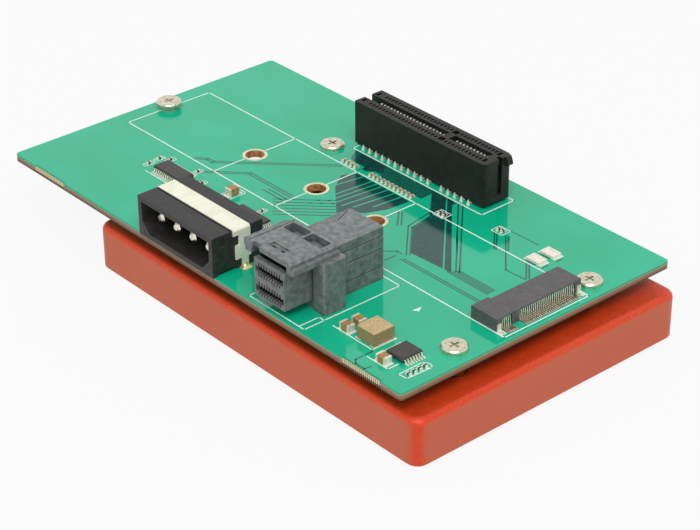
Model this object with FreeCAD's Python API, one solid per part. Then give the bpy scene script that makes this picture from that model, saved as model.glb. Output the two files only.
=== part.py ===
import FreeCAD, Part
import math
import os

# An adapter card bolted to a red metal base block.
# Frame: +X runs along the card's long side, towards the short edge that carries the module socket.
# +Y runs from the long edge with the two plug connectors to the long edge with the card slot.
# +Z is up. The origin is on the base's underside, at the middle of the whole object's outline.
# Places on the card are pairs (u, v): u from the short edge at the socket, v from the front long edge.
# Heights on the card are measured up from its top face. All sizes are millimetres.

Vector = FreeCAD.Vector

# Circuit board
board_length = 121.1
board_width = 69.5
board_thickness = 1.6
board_corner_r = 0.8

# Base block, as wide as the card less an inset on each side, reaching past the card at the socket end
base_length = 96.4
base_thickness = 10.2
base_overhang = 4.0
base_front_inset = 0.2
base_back_inset = 1.1
base_corner_r = 3.0
base_top_edge_r = 1.4
base_foot_edge = 0.7

# Four screws through card and spacers into the base
spacer_height = 3.0
spacer_r = 2.5
screw_r = 1.25
screw_head_r = 2.6
screw_head_height = 0.9
screw_head_edge = 0.25
screw_grip_in_base = 5.4
screw_u_near = 4.55
screw_v_front = 17.05
screw_pitch_u = 74.65
screw_pitch_v = 35.0
cross_recess_length = 2.2
cross_recess_width = 0.5
cross_recess_depth = 0.5
tapped_clearance = 0.02
bore_clearance = 0.15
hole_bottom_clearance = 0.6

# Break-off perforations on the front long edge
perforation_pitch = 0.53
perforation_count = 20
perforation_width = 0.3
perforation_depth = 0.55
perforation_u_near = 10.6
perforation_far_margin = 12.7

# Module bay: socket at the near edge, open bores for three module lengths, a post for the fourth
module_centre_offset = 2.6
module_hole_r = 2.05
module_hole_u = (49.04, 67.04, 87.04)
post_far_margin = 4.06
post_r = 1.75
post_height = 1.15
post_shank_r = 1.25
post_bore_r = 0.85
post_screw_head_r = 2.75
post_screw_head_height = 0.55
post_screw_head_edge = 0.18
post_screw_length = 2.2

# Module socket
socket_u_front = 3.5
socket_depth = 6.7
socket_length = 22.0
socket_v_offset = 0.2
socket_height = 2.7
socket_mouth_low = 0.7
socket_mouth_high = 1.8
socket_mouth_depth = 4.2
socket_mouth_side_wall = 0.9
socket_mouth_setback = 0.65
socket_ear_length = 4.3
socket_lead_pitch = 0.5
socket_lead_width = 0.22
socket_lead_thickness = 0.16
socket_lead_first = 1.75
socket_short_group = 5
socket_key_positions = 4
socket_long_group = 29
socket_lead_recess = 0.9
socket_foot_reach = 1.4
socket_hold_down_width = 0.9
socket_hold_down_height = 1.5
socket_hold_down_sheet = 0.25

# Edge-card slot
slot_length = 39.0
slot_width = 7.5
slot_height = 10.1
slot_back_margin = 5.5
slot_u_near = 38.0
slot_floor_lift = 0.5
slot_foot_size = 1.6
slot_groove_width = 2.0
slot_groove_floor = 2.4
slot_end_wall = 2.3
slot_end_pocket = 1.6
slot_pocket_length = 0.8
slot_key_pocket_length = 1.5
slot_corner_r = 0.8
slot_contact_pitch = 1.0
slot_short_group = 11
slot_key_positions = 2
slot_long_group = 21
slot_first_contact = 2.7
slot_cell_width = 0.56
slot_cell_outer = 2.75
slot_lip_inner = 1.35
slot_lip_height = 0.9
slot_key_width = 1.7
slot_contact_width = 0.4
slot_contact_thickness = 0.26
slot_tail_outer_row = 4.2
tail_length_below_board = 1.0
tail_hole_clearance = 0.12
end_groove_width = 1.05
end_groove_offset = 0.7
end_panel_width = 2.9
end_panel_depth = 0.22
end_groove_depth = 0.9
end_groove_floor = 1.9
hook_reach = 0.9
hook_height = 2.2
hook_width = 1.4

# Power header, a right-angle shell with four round pins and a tinned strap over it
header_u_near = 52.6
header_length = 23.5
header_overhang = 0.5
header_height = 8.6
header_depth = 12.3
header_wall = 1.05
header_cavity_depth = 8.6
header_cavity_chamfer = 2.2
header_pin_pitch = 5.08
header_pin_r = 1.03
header_pin_height = 4.3
header_pin_setback = 2.1
header_pin_tip = 0.45
header_pin_grip_clearance = 0.02
header_tail_r = 0.7
header_tail_v = 10.7
strap_v = 4.45
strap_width = 4.1
strap_thickness = 0.35
strap_corner_r = 0.6
strap_groove_depth = 0.2
strap_leg_neck = 2.7
strap_leg_belly = 3.6
strap_leg_tail = 1.5

# Cable port, a hood over a contact block with two slots
port_u_centre = 36.05
port_hood_width = 12.4
port_hood_depth = 11.2
port_height = 13.0
port_hood_wall = 1.1
port_hood_skirt = 2.4
port_wing_reach = 0.95
port_wing_depth = 9.6
port_rib_reach = 0.7
port_rib_height = 1.2
port_edge_chamfer = 0.5
port_window_length = 5.1
port_window_width = 2.8
port_window_v = 7.75
port_window_web = 0.55
port_pocket_length = 4.6
port_pocket_width = 1.5
port_pocket_v = 1.7
port_pocket_depth = 0.4
port_notch_length = 2.0
port_notch_depth = 0.7
port_ear_outer = 7.95
port_ear_v = 6.5
port_ear_depth = 5.5
port_block_width = 9.4
port_block_depth = 23.8
port_block_height = 11.4
port_block_v = 7.0
port_tongue_width = 8.7
port_tongue_low = 2.1
port_tongue_high = 10.1
port_fit = 0.05
port_slot_centres = (3.75, 7.85)
port_slot_opening = 1.4
port_slot_width = 8.1
port_slot_depth = 5.6
port_contacts_per_row = 9
port_contact_pitch = 0.75
port_channel_width = 0.45
port_channel_depth = 0.8
port_contact_width = 0.3
port_contact_thickness = 0.2
port_contact_setback = 0.35
port_side_groove_heights = (2.7, 6.6, 9.3)
port_side_groove = 0.35
port_side_groove_height = 0.25
port_top_groove = ((40.5, 23.0), (38.7, 18.8))
port_top_groove_width = 0.25
port_top_groove_depth = 0.3
port_tail_size = 0.3
port_tail_rows_v = (13.2, 19.6)

# Chips with gull-wing leads
chip_lift = 0.12
chip_lead_width = 0.26
chip_lead_thickness = 0.15
chip_lead_reach = 1.0
chip_body_bevel = 0.18
converter_chip_place = (9.1, 9.05)
converter_chip_size = (5.0, 4.4, 1.05)
converter_chip_leads = (7, 0.65)
clock_chip_place = (91.35, 19.3)
clock_chip_size = (8.65, 3.9, 1.2)
clock_chip_leads = (12, 0.635)
controller_chip_place = (66.05, 18.0)
controller_chip_size = (6.0, 8.9, 1.2)
controller_chip_leads = (11, 0.5)

# Small parts: (u, v) of each centre
inductor_place = (16.65, 8.9)
inductor_length = 4.65
inductor_width = 4.95
inductor_height = 2.9
inductor_edge = 0.25
large_capacitor_size = (2.5, 1.7, 1.45)
large_capacitor_places = ((9.75, 4.7), (22.15, 6.85), (22.15, 9.75))
medium_capacitor_size = (1.8, 2.6, 1.6)
medium_capacitor_places = ((76.65, 23.2),)
small_part_size = (0.5, 1.0, 0.45)
coupling_pitch = 1.25
coupling_count = 11
coupling_first_u = 51.5
coupling_rows_before_slot = 7.0
second_row_first_u = 68.7
second_row_count = 4
resistor_array_place = (3.6, 5.15)
resistor_array_pitch = 1.3
resistor_array_count = 4
lone_resistor_places = ((42.9, 49.25), (41.6, 49.25), (30.3, 53.3), (29.1, 53.3), (98.6, 18.3),
                        (98.9, 21.2), (96.9, 22.6), (88.9, 23.6), (67.0, 22.9), (84.4, 21.2))
led_size = (3.5, 2.4, 0.55)
led_places = ((16.9, 50.35), (16.8, 54.15))
led_window_depth = 0.15
led_window_margin = 0.5

# The card's place in the frame
overall_length = board_length + base_overhang
overall_width = board_width + header_overhang
near_x = overall_length / 2 - base_overhang
front_y = header_overhang - overall_width / 2
board_bottom = base_thickness + spacer_height
board_top = board_bottom + board_thickness
module_v = board_width / 2 + module_centre_offset
slot_v_front = board_width - slot_back_margin - slot_width
slot_v_middle = slot_v_front + slot_width / 2
post_u = board_length - post_far_margin
tail_bottom = -board_thickness - tail_length_below_board
slot_tail_inner_row = slot_cell_outer - slot_contact_thickness / 2


def at(u, v, z=0.0):
    """A point of the card: u from the short edge, v from the front edge, z above its top face."""
    return Vector(near_x - u, front_y + v, board_top + z)


def block(u_low, u_high, v_low, v_high, z_low, z_high):
    """A box between two distances from the short edge, two from the front edge and two heights."""
    corner = at(u_high, v_low, z_low)
    return Part.makeBox(u_high - u_low, v_high - v_low, z_high - z_low, corner)


def centred_block(u, v, size, z_low=0.0):
    """A box of the given (length in u, length in v, height) centred on a place of the card."""
    length, width, height = size
    half_length = length / 2
    half_width = width / 2
    return block(u - half_length, u + half_length, v - half_width, v + half_width, z_low, z_low + height)


def post_solid(u, v, radius, z_low, z_high):
    return Part.makeCylinder(radius, z_high - z_low, at(u, v, z_low))


def prism(points, direction):
    """A closed outline of points pushed along a direction."""
    wire = Part.makePolygon(points + [points[0]])
    return Part.Face(wire).extrude(direction)


def along_x(outline, u_low, u_high):
    """A prism along X of an outline given as (v, z) pairs."""
    points = [at(u_high, v, z) for v, z in outline]
    return prism(points, Vector(u_high - u_low, 0, 0))


def along_y(outline, v_low, v_high):
    """A prism along Y of an outline given as (u, z) pairs."""
    points = [at(u, v_low, z) for u, z in outline]
    return prism(points, Vector(0, v_high - v_low, 0))


def upright(outline, z_low, z_high):
    """A prism over an outline of (u, v) points, from one height to another."""
    return prism([at(u, v, z_low) for u, v in outline], Vector(0, 0, z_high - z_low))


def strip_outline(path, thickness):
    """The outline of a bent strip: a path of (a, b) pairs offset to both sides with mitred corners."""
    left = []
    right = []
    half = thickness / 2
    for index, (a, b) in enumerate(path):
        before = path[max(index - 1, 0)]
        after = path[min(index + 1, len(path) - 1)]
        first = unit(a - before[0], b - before[1]) if index else None
        second = unit(after[0] - a, after[1] - b) if index < len(path) - 1 else None
        first = first or second
        second = second or first
        normal = unit(-first[1] - second[1], first[0] + second[0])
        reach = half / (normal[0] * -first[1] + normal[1] * first[0])
        left.append((a + normal[0] * reach, b + normal[1] * reach))
        right.append((a - normal[0] * reach, b - normal[1] * reach))
    return left + right[::-1]


def unit(a, b):
    length = math.hypot(a, b)
    return (a / length, b / length)


def edges_along(shape, axis, test=lambda edge: True):
    """The straight edges of a shape that run along an axis and pass a test."""
    found = []
    for edge in shape.Edges:
        if not isinstance(edge.Curve, Part.Line):
            continue
        if abs(edge.Curve.Direction.dot(axis)) > 0.999 and test(edge):
            found.append(edge)
    return found


def joined(solids):
    return Part.makeCompound(solids)


def fused(solids):
    return solids[0].fuse(solids[1:]).removeSplitter()


def save(name, shape):
    shape.exportStep(os.path.join("parts", name + ".step"))
    print(name, len(shape.Solids), "solids", round(shape.Volume, 2), "mm3")


def screw_places():
    places = []
    for column in range(2):
        for row in range(2):
            u = screw_u_near + column * screw_pitch_u
            v = screw_v_front + row * screw_pitch_v
            places.append((u, v))
    return places


def make_base():
    """The solid metal block under the card, with four blind tapped holes."""
    width = board_width - base_front_inset - base_back_inset
    corner = Vector(near_x + base_overhang - base_length, front_y + base_front_inset, 0)
    solid = Part.makeBox(base_length, width, base_thickness, corner)
    solid = solid.makeFillet(base_corner_r, edges_along(solid, Vector(0, 0, 1)))
    top_edges = [edge for edge in solid.Edges if edge.BoundBox.ZMin > base_thickness - 0.001]
    solid = solid.makeFillet(base_top_edge_r, top_edges)
    foot_edges = [edge for edge in solid.Edges if edge.BoundBox.ZMax < 0.001]
    solid = solid.makeChamfer(base_foot_edge, foot_edges)
    hole_depth = screw_grip_in_base + hole_bottom_clearance
    base_top = base_thickness - board_top
    holes = []
    for u, v in screw_places():
        holes.append(post_solid(u, v, screw_r + tapped_clearance, base_top - hole_depth, base_top + 1))
    return solid.cut(holes)


def make_spacers():
    """Plain round sleeves that hold the card off the base."""
    sleeves = []
    low = -board_thickness - spacer_height
    for u, v in screw_places():
        sleeve = post_solid(u, v, spacer_r, low, -board_thickness)
        bore = post_solid(u, v, screw_r + bore_clearance, low - 1, 0)
        sleeves.append(sleeve.cut(bore))
    return joined(sleeves)


def make_screw(u, v, head_r, head_height, head_edge, shank_r, shank_length):
    """A pan-head screw with a cross recess, its head resting on z = 0 of the given place."""
    z_seat = 0.0
    head = post_solid(u, v, head_r, z_seat, z_seat + head_height)
    rim = [edge for edge in head.Edges if edge.BoundBox.ZMin > board_top + z_seat + head_height - 0.001]
    head = head.makeChamfer(head_edge, rim)
    shank = post_solid(u, v, shank_r, z_seat - shank_length, z_seat + head_height / 2)
    recess_floor = head_height - min(cross_recess_depth, head_height * 0.6)
    arm = (cross_recess_length, cross_recess_width, head_height)
    turned_arm = (cross_recess_width, cross_recess_length, head_height)
    recess = [centred_block(u, v, arm, recess_floor), centred_block(u, v, turned_arm, recess_floor)]
    return head.fuse(shank).cut(recess).removeSplitter()


def make_board_screws():
    length = board_thickness + spacer_height + screw_grip_in_base
    screws = []
    for u, v in screw_places():
        screw = make_screw(u, v, screw_head_r, screw_head_height, screw_head_edge, screw_r, length)
        screws.append(screw)
    return joined(screws)


def slot_contact_places():
    """Each contact's distance from the short edge, and whether its tail is in the outer row."""
    places = []
    first = slot_u_near + slot_first_contact
    positions = slot_short_group + slot_key_positions + slot_long_group
    for index in range(positions):
        if slot_short_group <= index < slot_short_group + slot_key_positions:
            continue
        places.append((first + index * slot_contact_pitch, index % 2 == 1))
    return places


def slot_tail_offset(outer):
    return slot_tail_outer_row if outer else slot_tail_inner_row


def port_tail_places():
    places = []
    first = port_u_centre - port_contact_pitch * (port_contacts_per_row - 1) / 2
    for v in port_tail_rows_v:
        for index in range(port_contacts_per_row):
            places.append((first + index * port_contact_pitch, v))
    return places


def header_pin_places():
    middle = header_u_near + header_length / 2
    return [middle + (index - 1.5) * header_pin_pitch for index in range(4)]


def perforation_cuts():
    """Notches with a pointed root, left where the card was snapped out of its panel."""
    cuts = []
    half = perforation_width / 2
    span = perforation_pitch * (perforation_count - 1)
    for middle in (perforation_u_near, board_length - perforation_far_margin):
        for index in range(perforation_count):
            u = middle - span / 2 + index * perforation_pitch
            corners = ((-half, -1), (half, -1), (half / 2, perforation_depth), (-half / 2, perforation_depth))
            outline = [at(u + across, v, -board_thickness - 1) for across, v in corners]
            cuts.append(prism(outline, Vector(0, 0, board_thickness + 2)))
    return cuts


def make_board():
    """The laminate with its bores, tail holes and snapped-off edge stretches."""
    solid = block(0, board_length, 0, board_width, -board_thickness, 0)
    solid = solid.makeFillet(board_corner_r, edges_along(solid, Vector(0, 0, 1)))
    cuts = perforation_cuts()
    low = -board_thickness - 1
    for u, v in screw_places():
        cuts.append(post_solid(u, v, screw_r + bore_clearance, low, 1))
    for u in module_hole_u:
        cuts.append(post_solid(u, module_v, module_hole_r, low, 1))
    cuts.append(post_solid(post_u, module_v, post_shank_r + tapped_clearance, low, 1))
    tail_hole = slot_contact_width + 2 * tail_hole_clearance
    through = board_thickness + 2
    for u, outer in slot_contact_places():
        for side in (-1, 1):
            v = slot_v_middle + side * slot_tail_offset(outer)
            cuts.append(centred_block(u, v, (tail_hole, tail_hole, through), low))
    pin_hole = port_tail_size + 2 * tail_hole_clearance
    for u, v in port_tail_places():
        cuts.append(centred_block(u, v, (pin_hole, pin_hole, through), low))
    for u in header_pin_places():
        cuts.append(post_solid(u, header_tail_v, header_tail_r + tail_hole_clearance, low, 1))
    leg_hole = (strap_thickness + 2 * tail_hole_clearance, strap_leg_tail + 2 * tail_hole_clearance, through)
    for u in strap_leg_places():
        cuts.append(centred_block(u, strap_leg_v(), leg_hole, low))
    return solid.cut(cuts)


def make_module_post():
    """A threaded post whose narrower shank passes through the card."""
    barrel = post_solid(post_u, module_v, post_r, 0, post_height)
    shank = post_solid(post_u, module_v, post_shank_r, -board_thickness, post_height / 2)
    bore = post_solid(post_u, module_v, post_bore_r + tapped_clearance, -board_thickness - 1, post_height + 1)
    return barrel.fuse(shank).cut(bore).removeSplitter()


def make_post_screw():
    screw = make_screw(post_u, module_v, post_screw_head_r, post_screw_head_height,
                       post_screw_head_edge, post_bore_r, post_screw_length)
    screw.translate(Vector(0, 0, post_height))
    return screw


def socket_v_start():
    return module_v + socket_v_offset - socket_length / 2


def socket_lead_places():
    """The distance of every upper lead from the front edge, with the key's gap left out."""
    places = []
    first = socket_v_start() + socket_lead_first
    key_end = socket_short_group + socket_key_positions
    for index in range(key_end + socket_long_group):
        if socket_short_group <= index < key_end:
            continue
        places.append(first + index * socket_lead_pitch)
    return places


def socket_lead_groups():
    """The low and high v of the two stretches of leads, on either side of the key."""
    places = socket_lead_places()
    margin = socket_lead_pitch / 2 + 0.05
    short = places[:socket_short_group]
    long_run = places[socket_short_group:]
    return [(short[0] - margin, short[-1] + margin), (long_run[0] - margin, long_run[-1] + margin)]


def make_socket_housing():
    """A low black housing with a card mouth, a key rib and open lead channels."""
    front = socket_u_front
    back = front + socket_depth
    low = socket_v_start()
    high = low + socket_length
    solid = block(front, back, low, high, 0, socket_height)
    setback = block(back - socket_mouth_setback, back + 1, low + socket_ear_length, high + 1,
                    socket_mouth_high, socket_height + 1)
    cuts = [setback]
    for start, end in socket_lead_groups():
        mouth = block(back - socket_mouth_depth, back + 1, start, end, socket_mouth_low, socket_mouth_high)
        upper = block(front - 1, back - 1.2, start, end, socket_mouth_high - 0.1, socket_height - 0.35)
        face = block(front - 1, front + socket_lead_recess, start, end, -1, socket_height - 0.35)
        foot_way = block(back - 1.6, back + 1, start, end, -1, socket_mouth_low + 0.1)
        cuts += [mouth, upper, face, foot_way]
    return solid.cut(cuts).removeSplitter()


def make_socket_upper_contacts():
    """Springs that press on the module from above, with gull-wing feet on the socket's outer side."""
    front = socket_u_front
    drop = front + socket_lead_recess / 2
    top = socket_height - 0.5
    foot = socket_lead_thickness / 2
    tip = front + socket_depth - 1.4
    path = [(tip, socket_mouth_high - 0.02), (drop, top), (drop - 0.25, foot), (front - socket_foot_reach, foot)]
    outline = strip_outline(path, socket_lead_thickness)
    half = socket_lead_width / 2
    return joined([along_y(outline, v - half, v + half) for v in socket_lead_places()])


def make_socket_lower_contacts():
    """Springs that press on the module from below, their feet under the mouth."""
    back = socket_u_front + socket_depth
    foot = socket_lead_thickness / 2
    rise = socket_mouth_low + 0.1
    path = [(back - socket_mouth_depth + 0.1, rise), (back - 1.2, rise), (back + 0.7, foot)]
    outline = strip_outline(path, socket_lead_thickness)
    half = socket_lead_width / 2
    shift = socket_lead_pitch / 2
    springs = []
    for start, end in socket_lead_groups():
        count = int((end - start) / socket_lead_pitch) - 1
        for index in range(count):
            v = start + 0.3 + shift + index * socket_lead_pitch
            springs.append(along_y(outline, v - half, v + half))
    return joined(springs)


def make_socket_hold_downs():
    """Two bent metal tabs that anchor the socket's ends to the card."""
    tabs = []
    sheet = socket_hold_down_sheet
    near_end = socket_v_start() + 0.15
    far_end = socket_v_start() + socket_length - 0.15 - socket_hold_down_width
    for start in (near_end, far_end):
        end = start + socket_hold_down_width
        plate = block(socket_u_front - sheet, socket_u_front, start, end, 0, socket_hold_down_height)
        foot = block(socket_u_front - socket_foot_reach, socket_u_front - sheet, start, end, 0, 0.2)
        tabs.append(plate.fuse(foot).removeSplitter())
    return joined(tabs)


def make_slot_housing():
    """The upright card slot: two walls of contact cells, a key, a closed end and a latch hook."""
    near = slot_u_near
    far = near + slot_length
    low = slot_v_front
    high = low + slot_width
    top = slot_height
    solid = block(near, far, low, high, slot_floor_lift, top)
    near_x_face = at(near, 0).x
    rounded = edges_along(solid, Vector(0, 0, 1), lambda edge: abs(edge.BoundBox.XMin - near_x_face) < 0.001)
    solid = solid.makeFillet(slot_corner_r, rounded)
    feet = []
    for u in (near + slot_corner_r, far - slot_foot_size):
        for v in (low + 0.6, high - 0.6 - slot_foot_size):
            feet.append(block(u, u + slot_foot_size, v, v + slot_foot_size, 0, slot_floor_lift))
    hook_outline = [(near + 0.3, top), (near - hook_reach * 0.4, top), (near - hook_reach, top - hook_height * 0.6),
                    (near - hook_reach, top - hook_height * 0.8), (near + 0.3, top - hook_height)]
    hook = along_y(hook_outline, high - hook_width - 0.35, high - 0.35)
    solid = fused([solid] + feet + [hook])
    middle = slot_v_middle
    half_groove = slot_groove_width / 2
    groove = block(near + slot_end_wall, far + 1, middle - half_groove, middle + half_groove,
                   slot_groove_floor, top + 1)
    key_u = near + slot_first_contact + (slot_short_group - 0.5 + slot_key_positions / 2) * slot_contact_pitch
    key = block(key_u - slot_key_width / 2, key_u + slot_key_width / 2, middle - half_groove,
                middle + half_groove, slot_groove_floor, top)
    cuts = [groove.cut(key)]
    half_cell = slot_cell_width / 2
    for u, outer in slot_contact_places():
        for side in (-1, 1):
            cuts.append(slot_cell(u - half_cell, u + half_cell, side))
    end_length = slot_pocket_length
    pockets = ((key_u, slot_key_pocket_length), (far - 1.1, end_length), (near + slot_end_pocket, end_length))
    for u, length in pockets:
        for side in (-1, 1):
            edge_a = middle + side * slot_lip_inner
            edge_b = middle + side * slot_cell_outer
            cuts.append(block(u - length / 2, u + length / 2, min(edge_a, edge_b), max(edge_a, edge_b),
                              top - 3.0, top + 1))
    groove_v = middle + end_groove_offset
    cuts.append(block(near - 1, near + end_groove_depth, groove_v - end_groove_width / 2,
                      groove_v + end_groove_width / 2, end_groove_floor, top + 1))
    panel_high = groove_v + end_groove_width / 2
    cuts.append(block(near - 1, near + end_panel_depth, panel_high - end_panel_width, panel_high,
                      end_groove_floor - 0.4, top - 1.0))
    return solid.cut(cuts)


def slot_cell(u_low, u_high, side):
    """One contact cell: open to the groove below a lip, and open to the top behind that lip."""
    middle = slot_v_middle
    top = slot_height
    inner = slot_groove_width / 2 - 0.1
    bar_edge = slot_lip_inner + 0.4
    outline = [(inner, slot_groove_floor), (slot_cell_outer, -0.1), (slot_cell_outer, top + 1),
               (bar_edge, top + 1), (bar_edge, top - slot_lip_height), (inner, top - slot_lip_height)]
    mirrored = [(middle + side * w, z) for w, z in outline]
    return along_x(mirrored, u_low, u_high)


def make_slot_contacts(side):
    """One wall's row of bent springs, whose tails alternate between an outer and an inner row."""
    middle = slot_v_middle
    half = slot_contact_width / 2
    top = slot_height - slot_lip_height - 0.3
    bulge = slot_groove_width / 2 - 0.25
    root = slot_tail_inner_row
    tail_level = slot_floor_lift / 2
    contacts = []
    for u, outer in slot_contact_places():
        path = [(slot_lip_inner + 0.35, top), (bulge, top - 2.2), (root, slot_groove_floor + 0.5)]
        if outer:
            path += [(root, tail_level), (slot_tail_outer_row, tail_level), (slot_tail_outer_row, tail_bottom)]
        else:
            path += [(root, tail_bottom)]
        outline = strip_outline(path, slot_contact_thickness)
        placed = [(middle + side * w, z) for w, z in outline]
        contacts.append(along_x(placed, u - half, u + half))
    return joined(contacts)


def strap_leg_places():
    near = header_u_near - strap_thickness / 2 - tapped_clearance
    far = header_u_near + header_length + strap_thickness / 2 + tapped_clearance
    return (near, far)


def strap_leg_v():
    return strap_v + strap_width - strap_leg_neck / 2


def make_header_housing():
    """The right-angle shell: a keyed mouth, a groove for the strap and pin ways at the back."""
    near = header_u_near
    far = near + header_length
    front = -header_overhang
    back = front + header_depth
    top = header_height
    shell = block(near, far, front, back, 0, top)
    wall = header_wall
    chamfer = header_cavity_chamfer
    mouth = [(near + wall, top - wall), (far - wall, top - wall), (far - wall, wall + chamfer),
             (far - wall - chamfer, wall), (near + wall + chamfer, wall), (near + wall, wall + chamfer)]
    cuts = [along_y(mouth, front - 1, front + header_cavity_depth)]
    groove_floor = top - strap_groove_depth
    cuts.append(block(near - 1, far + 1, strap_v - 0.05, strap_v + strap_width + 0.05, groove_floor, top + 1))
    side_patch = block(near - 1, near + 0.3, front + 1.6, front + 3.4, top - 2.6, top - 0.9)
    heel = block(near - 1, near + 0.5, front + 1.2, strap_v + 1.0, -1, 0.7)
    cuts += [side_patch, heel]
    grip = header_pin_r + header_pin_grip_clearance
    way = header_pin_r + bore_clearance
    for u in header_pin_places():
        entry = at(u, front + header_cavity_depth - 1, header_pin_height)
        cuts.append(Part.makeCylinder(grip, header_depth, entry, Vector(0, 1, 0)))
        cuts.append(block(u - way, u + way, header_tail_v - way, back + 1, -1, header_pin_height + way))
    return shell.cut(cuts).removeSplitter()


def make_header_pins():
    """Four round pins with tapered tips, each turned down at the back and through the card."""
    pins = []
    tip = header_pin_setback - header_overhang
    for u in header_pin_places():
        length = header_tail_v + header_tail_r - tip
        run = Part.makeCylinder(header_pin_r, length, at(u, tip, header_pin_height), Vector(0, 1, 0))
        tip_y = at(u, tip).y
        nose = [edge for edge in run.Edges if edge.BoundBox.YMax < tip_y + 0.001]
        run = run.makeChamfer(header_pin_tip, nose)
        tail = post_solid(u, header_tail_v, header_tail_r, tail_bottom, header_pin_height)
        pins.append(fused([run, tail]))
    return joined(pins)


def make_header_strap():
    """A tinned strap folded over the shell, its two legs soldered through the card."""
    near_leg, far_leg = strap_leg_places()
    half = strap_thickness / 2
    top = header_height - strap_groove_depth + tapped_clearance
    back = strap_v + strap_width
    outer = block(near_leg - half, far_leg + half, strap_v, back, -0.001, top + strap_thickness)
    folds = edges_along(outer, Vector(0, 1, 0), lambda edge: edge.BoundBox.ZMin > board_top + top)
    outer = outer.makeFillet(strap_corner_r, folds)
    inner = block(near_leg + half, far_leg - half, strap_v - 1, back + 1, -1, top)
    strap = outer.cut(inner)
    neck_front = back - strap_leg_neck
    belly_front = back - strap_leg_belly
    trims = []
    for leg in (near_leg, far_leg):
        low_u = leg - 1
        high_u = leg + 1
        trims.append(block(low_u, high_u, strap_v - 1, neck_front, 5.2, top - 1.0))
        trims.append(block(low_u, high_u, strap_v - 1, belly_front, -1, 5.3))
        trims.append(block(low_u, high_u, strap_v - 1, strap_leg_v() - strap_leg_tail / 2, -1, 2.2))
        trims.append(block(low_u, high_u, strap_leg_v() + strap_leg_tail / 2, back + 1, -1, 2.2))
    strap = strap.cut(trims)
    tails = []
    tail = (strap_thickness, strap_leg_tail, -tail_bottom + 0.5)
    for leg in (near_leg, far_leg):
        tails.append(centred_block(leg, strap_leg_v(), tail, tail_bottom))
    return fused([strap] + tails)


def make_port_hood():
    """The port's moulded hood: a roof with latch windows, skirts with ribs and two tall ears."""
    middle = port_u_centre
    half = port_hood_width / 2
    top = port_height
    skirt_low = top - port_hood_skirt
    depth = port_hood_depth
    roof = block(middle - half, middle + half, 0, depth, skirt_low, top)
    top_edges = edges_along(roof, Vector(0, 1, 0), lambda edge: edge.BoundBox.ZMin > board_top + top - 0.001)
    roof = roof.makeChamfer(port_edge_chamfer, top_edges)
    rib = half + port_rib_reach
    rib_high = skirt_low + port_rib_height
    ear_inner = port_block_width / 2 + port_fit
    ear_end = port_ear_v + port_ear_depth
    pieces = [roof]
    for side in (-1, 1):
        rib_span = sorted((middle + side * (half - 0.2), middle + side * rib))
        pieces.append(block(rib_span[0], rib_span[1], 0, depth, skirt_low, rib_high))
        ear_span = sorted((middle + side * ear_inner, middle + side * port_ear_outer))
        ear = block(ear_span[0], ear_span[1], port_ear_v, ear_end, 0, skirt_low + 0.3)
        outer_x = at(middle + side * port_ear_outer, 0).x
        corner = edges_along(ear, Vector(0, 0, 1), lambda edge: abs(edge.BoundBox.XMin - outer_x) < 0.001)
        pieces.append(ear.makeFillet(0.7, corner))
    wing_far = middle + half + port_wing_reach
    wing = [(middle + half - 0.2, 0), (wing_far, 0), (wing_far, port_wing_depth), (middle + half - 0.2, depth)]
    pieces.append(upright(wing, skirt_low + port_rib_height - 0.2, top))
    hood = fused(pieces)
    inside = half - port_hood_wall
    throat = block(middle - inside, middle + inside, -1, depth - port_hood_wall, skirt_low - 1,
                   top - port_hood_wall)
    back_way = block(middle - port_block_width / 2 - port_fit, middle + port_block_width / 2 + port_fit,
                     port_block_v - port_fit, depth + 1, skirt_low - 1, port_block_height + port_fit)
    cuts = [throat, back_way]
    window_far = port_window_v + port_window_width
    for side in (-1, 1):
        span = sorted((middle + side * port_window_web / 2, middle + side * (port_window_web / 2 + port_window_length)))
        cuts.append(block(span[0], span[1], port_window_v, window_far, skirt_low, top + 1))
    pocket_near = middle - port_pocket_length / 2
    pocket_far = middle + port_pocket_length / 2
    cuts.append(block(pocket_near, pocket_far, port_pocket_v, port_pocket_v + port_pocket_width,
                      top - port_pocket_depth, top + 1))
    for u in (pocket_near + 0.3, pocket_far - 1.6):
        cuts.append(block(u, u + 1.3, port_pocket_v + 0.3, port_pocket_v + 1.1, top - 3, top + 1))
    notch_far = middle + half - 1.6
    cuts.append(block(notch_far - port_notch_length, notch_far, -1, port_notch_depth, skirt_low - 1, top + 1))
    return hood.cut(cuts).removeSplitter()


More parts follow.
